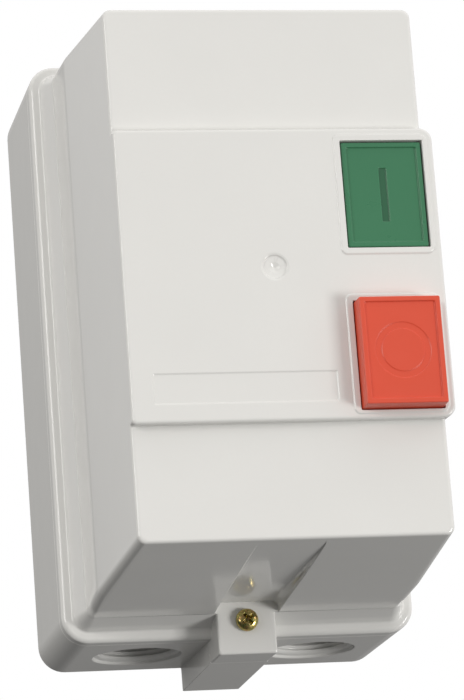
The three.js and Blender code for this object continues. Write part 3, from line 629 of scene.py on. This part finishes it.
def build_cover():
    shell = join(cover_outer(), panel())
    shell = cut(shell, cover_inner())
    shell = join(shell, channel_skin(), lug(), hook(-36), hook(36))
    shell = join(shell, bezel(START_Z), bezel(STOP_Z), sleeve(START_Z), sleeve(STOP_Z))
    shell = cut(shell, channel(), rod(0, SCREW_Z, 2.2, (LUG_FRONT - 1, PARTING + 1)))
    shell = cut(shell, opening(START_Z), opening(STOP_Z))
    shell = cut(shell, stem_hole(START_STEM_X, START_Z), stem_hole(STOP_STEM_X, STOP_Z))
    shell = cut(shell, dimple(), label_recess())
    shell = cut(shell, witness_ring(MARK_X, 0, 7.8), witness_ring(-31.8, 19.95, 5.5))
    return smooth(soften(tidy_mesh(shell), 0.2, 38))


place(build_cover(), "front_cover")


# ---------------------------------------------------------------- the rear tray
RIM_Y = -39.6
ENTRY_X, ENTRY_Y = 24.0, -20.8
ENTRY_SEAT = 79.1
RAIL_SCREW_X, RAIL_SCREW_Z = (-25.5, 39), 33
COLUMN_LOW = -86.4


def tray_shell():
    wall, thick, chamfer = 2.5, 4.0, 0.25
    outer = [
        rim_section(0, 4),
        centred(0, BASE_X - 0.3, BASE_Z, BASE_CORNER),
        rim_section(RIM_Y + chamfer, 0),
        rim_section(RIM_Y, chamfer),
        rim_section(RIM_Y, 2),
    ]
    inner = [
        rim_section(-3, wall + 2),
        rim_section(-3, wall),
        rim_section(-33, wall),
        rim_section(-35, thick),
        rim_section(RIM_Y - 1, thick),
    ]
    return cut(loft(filleted(outer, [0.7, 0.1, 0.1])), loft(filleted(inner, [1.0, 0.6, 0.6])))


def entry_collar(x, side):
    """The thick ring inside the wall around a cable entry."""
    profile = [(0, ENTRY_SEAT), (12.4, ENTRY_SEAT), (12.4, 74), (0, 74)]
    return lathe([(r, side * h) for r, h in profile], "z", (x, ENTRY_Y, 0))


def entry_bore(x, side):
    """The mouth and the threaded bore of a cable entry."""
    pitch, bore, root = 1.5, 9.75, 10.25
    profile = [(0, 82), (12.3, 82), (12.3, 80), (11.85, 79.75), (11.7, 79.2)]
    profile += [(10.6, 79.05), (10.3, 78.8), (bore, 78.4)]
    depth = 78.3
    while depth > 73.5:
        profile += [(bore, depth), (root, depth - 0.45 * pitch), (bore, depth - 0.9 * pitch)]
        depth -= pitch
    profile += [(bore, 71.5), (0, 71.5)]
    return lathe([(r, side * h) for r, h in profile], "z", (x, ENTRY_Y, 0), 72)


def gasket_groove():
    """The groove along the rim, with its detour around the cover screw."""
    inset, width, detour_x, detour_z = 1.0, 1.8, 7.2, -71.2
    front, floor = RIM_Y - 1, RIM_Y + 2.6
    low, inside = inset - BASE_Z, detour_x - width
    outer = loft([rim_section(y, inset) for y in (floor, front)])
    inner = loft([rim_section(y, inset + width) for y in (floor + 1, front - 1)])
    detour = block((-detour_x, detour_x), (front, floor), (low, detour_z))
    core = block((-inside, inside), (front - 1, floor + 1), (low - 1, detour_z - width))
    return cut(join(cut(outer, inner), detour), core)


def wall_hole(x, z):
    """A hole for a wall screw, widened on the inside for its head."""
    profile = [(0, 1), (3.0, 1), (2.4, -0.5), (2.4, -2.2), (4.6, -2.4), (4.6, -4), (0, -4)]
    return lathe(profile, "y", (x, 0, z))


def pin_mark(x, z):
    """The shallow round mark of a mould pin on the back."""
    radius, depth = 3.0, 0.12
    profile = [(0, 1), (radius, 1), (radius, 0), (radius - 0.15, -depth), (0, -depth)]
    return lathe(profile, "y", (x, 0, z))


def back_relief():
    """A shallow recess in the back, so that only a border and two bands rest on the wall."""
    half, depth, slope = 38, 0.5, 0.4
    parts = []
    for low, high in ((-54, -22), (-14, 14), (22, 54)):
        wide = (-half - slope, half + slope), (low - slope, high + slope)
        mouth = section(0.6, *wide, 3 + slope)
        parts.append(loft([mouth, section(-depth, (-half, half), (low, high), 3)], 6))
    return parts


def build_tray():
    side = [(RIM_Y, LUG_LOW), (0, COLUMN_LOW), (0, -70), (RIM_Y, -70)]
    column = prism_x(side, (-LUG_HALF, LUG_HALF))
    column_core = block((-5.4, 5.4), (-27, 1), (-83.4, -72.5))
    insert_hole = rod(0, SCREW_Z, 3.55, (RIM_Y - 1, -30.7))
    corners = [(sx, sz) for sx in (-1, 1) for sz in (-1, 1)]
    tray = join(tray_shell(), column)
    for x in RAIL_SCREW_X:
        join(tray, block((x - 4, x + 4), (-8, -2), (RAIL_SCREW_Z - 10, RAIL_SCREW_Z + 10)))
    join(tray, *[entry_collar(sx * ENTRY_X, sz) for sx, sz in corners])
    cut(tray, gasket_groove(), column_core, insert_hole)
    cut(tray, *[rod(x, RAIL_SCREW_Z, 1.8, (-9, -1.2)) for x in RAIL_SCREW_X])
    cut(tray, *[wall_hole(sx * 34, sz * 64) for sx, sz in corners])
    cut(tray, *[entry_bore(sx * ENTRY_X, sz) for sx, sz in corners])
    cut(tray, *back_relief(), *[pin_mark(sx * 22, sz * 62) for sx, sz in corners])
    soften(tidy_mesh(tray), 0.25, 40)
    for vertex in tray.data.vertices:
        vertex.co.y = min(vertex.co.y, 0.0)
        vertex.co.z = max(vertex.co.z, COLUMN_LOW)
    return smooth(tray)


place(build_tray(), "rear_base")


# ---------------------------------------------------------------- the two buttons
CAP_BACK = -113.5
CAP_RIM = 0.5  # how far the rim stands above the face


def cap_shell(front, z):
    """A button's cap, open at the back, with its raised rim."""
    half_x, half_z, draft = 10.68, 14.03, 0.2

    def at(y, less, corner):
        x_range = (OPENING_X - half_x + less, OPENING_X + half_x - less)
        return section(y, x_range, (z - half_z + less, z + half_z - less), corner)

    rim, face = 1.25, front + CAP_RIM
    sections = [
        at(CAP_BACK, 0, 0.4),
        at(front, draft, 0.4),
        at(front, draft + rim, 0.5),
        at(face, draft + rim + 0.12, 0.5),
        at(face, draft + rim + 3, 0.3),
    ]
    outer = loft(filleted(sections, [0.35, 0.22, 0.2]), 5)
    hollow = loft([at(CAP_BACK + 1, 1.6, 0.4), at(front + 2.2, 1.6, 0.4)], 4)
    return cut(outer, hollow)


def button_stem(x, z, front, tip):
    profile = [(0, front + 2), (3.5, front + 2), (3.5, tip - 0.4), (3.1, tip), (0, tip)]
    return lathe(profile, "y", (x, 0, z))


def finish_button(button):
    return smooth(soften(tidy_mesh(button), 0.1, 38), 50)


def build_start():
    """The flush green button, with a bar sunk in its face."""
    front = PANEL_Y + 0.3
    face = front + CAP_RIM
    bar = []
    for y, less in ((face - 1, 0.1), (face, 0.3), (face + 0.3, 0.5)):
        half_x, half_z = 1.35 - less, 7.5 - less
        x_range = (OPENING_X - half_x, OPENING_X + half_x)
        bar.append(section(y, x_range, (START_Z - half_z, START_Z + half_z), 0.3))
    stem = button_stem(START_STEM_X, START_Z, front, -62.3)
    return finish_button(cut(join(cap_shell(front, START_Z), stem), loft(bar, 4)))


def build_stop():
    """The proud red button, with a ring sunk in its face and an arm to the relay's stop button."""
    front = PANEL_Y - 5.3
    face = front + CAP_RIM
    inner, outer = 5.35, 7.4
    slope = [(0, 0), (0.1, 0.045), (0.22, 0.185), (0.32, 0.23)]
    groove = [(inner + across, face + down) for across, down in slope]
    groove += [(outer - across, face + down) for across, down in reversed(slope)]
    groove += [(outer, face - 1), (inner, face - 1)]
    tip, pad = -90.5, 3.8
    pin_x, pin_z = 13.0, -33.0
    arm = [
        (pin_x - pad, pin_z - pad),
        (pin_x + pad, pin_z - pad),
        (STOP_STEM_X + pad, STOP_Z - pad),
        (STOP_STEM_X + pad, STOP_Z + pad),
        (STOP_STEM_X - pad, STOP_Z + pad),
        (pin_x - pad, pin_z + pad),
    ]
    stem = button_stem(STOP_STEM_X, STOP_Z, front, tip)
    button = join(cap_shell(front, STOP_Z), stem, prism_y(arm, (tip - 3, tip)))
    return finish_button(cut(button, lathe(groove, "y", (OPENING_X, 0, STOP_Z), 72)))


place(build_start(), "start_button")
place(build_stop(), "stop_button")


# ---------------------------------------------------------------- the cover screw
def recess_wing(top, turn):
    """One slot of the cross recess, tapered to its floor and turned by an angle in degrees."""
    cos, sin = math.cos(math.radians(turn)), math.sin(math.radians(turn))
    rings = []
    for y, half, thick in ((top - 0.3, 1.95, 0.48), (top + 1.7, 0.95, 0.26)):
        corners = [(-half, -thick), (half, -thick), (half, thick), (-half, thick)]
        rings.append([(a * cos - b * sin, y, SCREW_Z + a * sin + b * cos) for a, b in corners])
    return skin("wing", rings)


def build_screw():
    seat, radius, height = LUG_FRONT - 0.3, 3.0, 2.2
    top = seat - height
    profile = [(0, top), (1.1, top + 0.02), (1.85, top + 0.13), (2.45, top + 0.4)]
    profile += [(2.82, top + 0.8), (radius, top + 1.3), (radius, seat - 0.2), (2.85, seat)]
    shank, root, pitch, depth, thread_end = 1.8, 1.45, 0.7, -45.5, -35.5
    profile += [(shank, seat), (shank, depth - 0.5)]
    while depth < thread_end:
        profile += [(root, depth), (shank, depth + 0.3), (shank, depth + 0.42)]
        depth += pitch
    profile += [(1.5, -34.6), (0.9, -33.5), (0, -33.5)]
    screw = lathe(profile, "y", (0, 0, SCREW_Z), 56)
    cone = [(0, top - 0.5), (0.95, top - 0.5), (0.75, top + 0.6), (0.2, top + 1.9), (0, top + 1.9)]
    cut(screw, recess_wing(top, 35), recess_wing(top, 125), lathe(cone, "y", (0, 0, SCREW_Z), 24))
    return smooth(soften(tidy_mesh(screw), 0.07, 40), 45)


place(build_screw(), "cover_screw")


# ---------------------------------------------------------------- springs and wires
def tube(points, radius, sides=12):
    """A round bar through points, with turned-in ends."""
    rings = []
    normal = None
    for i, point in enumerate(points):
        ahead = points[min(i + 1, len(points) - 1)] - points[max(i - 1, 0)]
        ahead.normalize()
        if normal is None:
            normal = ahead.orthogonal().normalized()
        normal = (normal - ahead * normal.dot(ahead)).normalized()
        other = ahead.cross(normal)
        shrink = 0.55 if i in (0, len(points) - 1) else 1
        angles = [2 * math.pi * k / sides for k in range(sides)]
        rings.append(
            [point + (normal * math.cos(a) + other * math.sin(a)) * radius * shrink for a in angles]
        )
    return skin("tube", rings)


def build_spring(node, coil, wire, turns):
    """A compression spring with a closed turn at each end, in its CAD node's box."""
    low, high = box_mm(node)
    centre_x, centre_z = (low.x + high.x) / 2, (low.z + high.z) / 2
    y0, y1 = low.y + wire, high.y - wire
    closed = 2 * wire * 1.05
    steps = 30 * (turns + 2)
    points = []
    for i in range(steps + 1):
        turn = (turns + 2) * i / steps
        if turn < 1:
            y = y0 + closed * turn
        elif turn > turns + 1:
            y = y1 - closed * (turns + 2 - turn)
        else:
            y = y0 + closed + (y1 - y0 - 2 * closed) * (turn - 1) / turns
        angle = 2 * math.pi * turn
        across, up = coil * math.cos(angle), coil * math.sin(angle)
        points.append(Vector((centre_x + across, y, centre_z + up)))
    return smooth(tube(points, wire), 60)


# Each row: node, coil radius, wire radius, turns, and the joint that shortens the spring.
SPRINGS = [
    ("start_spring", 5.1, 0.45, 5, "start_press"),
    ("stop_spring", 5.1, 0.45, 5, "stop_press"),
    ("return_spring_upper", 2.6, 0.35, 4, "armature_pull"),
    ("return_spring_lower", 2.6, 0.35, 4, "armature_pull"),
]
for node, coil, wire, turns, joint in SPRINGS:
    piece = place(build_spring(node, coil, wire, turns), node)
    apply_modifiers(piece)
    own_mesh(piece)


def spline(points, steps=10):
    """Points along a smooth curve through the given ones."""
    knots = [Vector(p) for p in points]
    knots = [2 * knots[0] - knots[1], *knots, 2 * knots[-1] - knots[-2]]
    out = []
    for a, b, c, d in zip(knots, knots[1:], knots[2:], knots[3:]):
        square = 2 * a - 5 * b + 4 * c - d
        cube = 3 * b - a - 3 * c + d
        for i in range(steps):
            t = i / steps
            out.append(0.5 * (2 * b + (c - a) * t + square * t**2 + cube * t**3))
    return [*out, knots[-2]]


WIRE_RADIUS = 1.05
WIRES = {
    "switch_wire": [
        (30.6, -56.6, 49), (30.6, -60, 50), (29.6, -62, 57), (24, -57, 66),
        (17, -52, 70), (14, -49, 70), (14, -46.3, 67.6),
    ],
    "line_wire": [
        (13, -62.2, 60.5), (15, -66.5, 60.5), (24.5, -67, 57.5), (29, -65, 48),
        (30.6, -61, 40.5), (30.6, -56.6, 40),
    ],
    "relay_wire": [
        (-17, -86.5, -44), (-18, -89.5, -44.5), (-26, -88, -43), (-28, -75, -20), (-28, -62, 15),
        (-27.5, -56, 48), (-25, -53, 65), (-19, -51, 70.3), (-16, -49, 70), (-16, -46.3, 67.6),
    ],
}
for node, route in WIRES.items():
    place(smooth(tube(spline(route), WIRE_RADIUS, 14), 60), node)


# ---------------------------------------------------------------- everything else
def refine(node, width):
    """A CAD solid with its edges rounded and its facets shaded smooth."""
    mesh = NODES[node].data.copy()
    mesh.transform(Matrix.Scale(1 / MM, 4))
    obj = bpy.data.objects.new("refined", mesh)
    bpy.context.scene.collection.objects.link(obj)
    return smooth(soften(tidy_mesh(obj, 0.8), width))


EDGE = 0.18
EDGES = {"cover_gasket": 0.35, "din_rail": 0.2, "fixed_core": 0.15, "armature": 0.15}
done = {o["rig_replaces"][0] for o in bpy.context.scene.objects if "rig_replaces" in o}
for node in sorted(NODES):
    if node not in done:
        place(refine(node, EDGES.get(node, EDGE)), node)


# ---------------------------------------------------------------- camera, light and floor
AZIMUTH, ELEVATION, ROLL = (math.radians(d) for d in (-12.543, -14.436, -4.296))
CAMERA_AT = Vector((-0.21378, -1.02013, -0.25855))
LENS = 196.26


def add_camera():
    """The camera, rolled about its line of sight. `back` points from the object to it."""
    back = Vector(
        (
            math.sin(AZIMUTH) * math.cos(ELEVATION),
            -math.cos(AZIMUTH) * math.cos(ELEVATION),
            math.sin(ELEVATION),
        )
    )
    level = (-back).cross(Vector((0, 0, 1))).normalized()
    upright = level.cross(-back)
    right = level * math.cos(ROLL) + upright * math.sin(ROLL)
    up = upright * math.cos(ROLL) - level * math.sin(ROLL)
    data = bpy.data.cameras.new("camera")
    data.lens = LENS
    data.sensor_width = 36.0
    camera = bpy.data.objects.new("camera", data)
    bpy.context.scene.collection.objects.link(camera)
    turn = Matrix((right, up, back)).transposed().to_4x4()
    camera.matrix_world = Matrix.Translation(CAMERA_AT) @ turn
    bpy.context.scene.camera = camera


BASE_LIGHT, TOP_LIGHT, RIGHT_LIGHT = 0.10, 0.98, 0.46


def add_world():
    """A white backdrop. What lights the object is brighter above and on the right."""
    world = bpy.data.worlds.new("studio")
    world.use_nodes = True
    bpy.context.scene.world = world
    nodes, links = world.node_tree.nodes, world.node_tree.links
    nodes.clear()

    def math_node(operation, a, b):
        made = nodes.new("ShaderNodeMath")
        made.operation = operation
        for socket, value in zip(made.inputs, (a, b)):
            if isinstance(value, bpy.types.NodeSocket):
                links.new(value, socket)
            else:
                socket.default_value = value
        return made.outputs[0]

    direction = nodes.new("ShaderNodeTexCoord").outputs["Generated"]
    split = nodes.new("ShaderNodeSeparateXYZ")
    links.new(direction, split.inputs[0])
    x, _, z = split.outputs
    above = math_node("MULTIPLY", math_node("MAXIMUM", z, 0.0), TOP_LIGHT)
    sideways = math_node("MULTIPLY", math_node("MAXIMUM", x, 0.0), RIGHT_LIGHT)
    level = math_node("ADD", math_node("ADD", above, sideways), BASE_LIGHT)
    soft = nodes.new("ShaderNodeBackground")
    links.new(level, soft.inputs["Strength"])
    soft.inputs["Color"].default_value = (1.0, 0.99, 0.975, 1)
    white = nodes.new("ShaderNodeBackground")
    white.inputs["Color"].default_value = (1, 1, 1, 1)
    mix = nodes.new("ShaderNodeMixShader")
    links.new(nodes.new("ShaderNodeLightPath").outputs["Is Camera Ray"], mix.inputs[0])
    links.new(soft.outputs[0], mix.inputs[1])
    links.new(white.outputs[0], mix.inputs[2])
    links.new(mix.outputs[0], nodes.new("ShaderNodeOutputWorld").inputs["Surface"])


def add_area(name, at, target, size, power, color=(1, 1, 1), glossy_only=False):
    data = bpy.data.lights.new(name, "AREA")
    data.shape = "RECTANGLE"
    data.size, data.size_y = size
    data.energy = power
    data.color = color
    light = bpy.data.objects.new(name, data)
    light.location = at
    light.visible_diffuse = not glossy_only
    aim = Vector(target) - Vector(at)
    light.rotation_mode = "QUATERNION"
    light.rotation_quaternion = aim.to_track_quat("-Z", "Y")
    bpy.context.scene.collection.objects.link(light)


FLOOR_Z, FLOOR_SIZE = -1.0, 6.0


def add_floor():
    """A pale floor that the object's shading and reflections do not see."""
    bm = bmesh.new()
    bmesh.ops.create_grid(bm, x_segments=8, y_segments=8, size=FLOOR_SIZE)
    mesh = bpy.data.meshes.new("floor")
    bm.to_mesh(mesh)
    bm.free()
    floor = bpy.data.objects.new("floor", mesh)
    floor.location = (0, 0, FLOOR_Z)
    bpy.context.scene.collection.objects.link(floor)
    look = Look("floor_paint", Roughness=0.6)
    tone = look.blend(look.range(look.noise(600, 3), 0, 1), (0.78, 0.78, 0.77), (0.82, 0.82, 0.81))
    look.set(Base_Color=tone)
    mesh.materials.append(look.material)
    floor.visible_diffuse = False
    floor.visible_glossy = False


add_camera()
add_world()
add_area("left_front", (-1.5, -1.3, 0.4), (0, -0.06, 0), (1.0, 1.0), 17.4, (1, 0.985, 0.965))
add_area("low_right", (1.2, -1.2, -0.5), (0, -0.06, -0.05), (0.5, 0.5), 13.6, (1, 0.99, 0.975))
add_area("rear_left", (-1.24, 1.48, 0.5), (0, -0.05, 0), (1.6, 1.6), 2.1, glossy_only=True)
add_floor()

scene = bpy.context.scene
scene.view_settings.view_transform = "Standard"
scene.view_settings.look = "None"
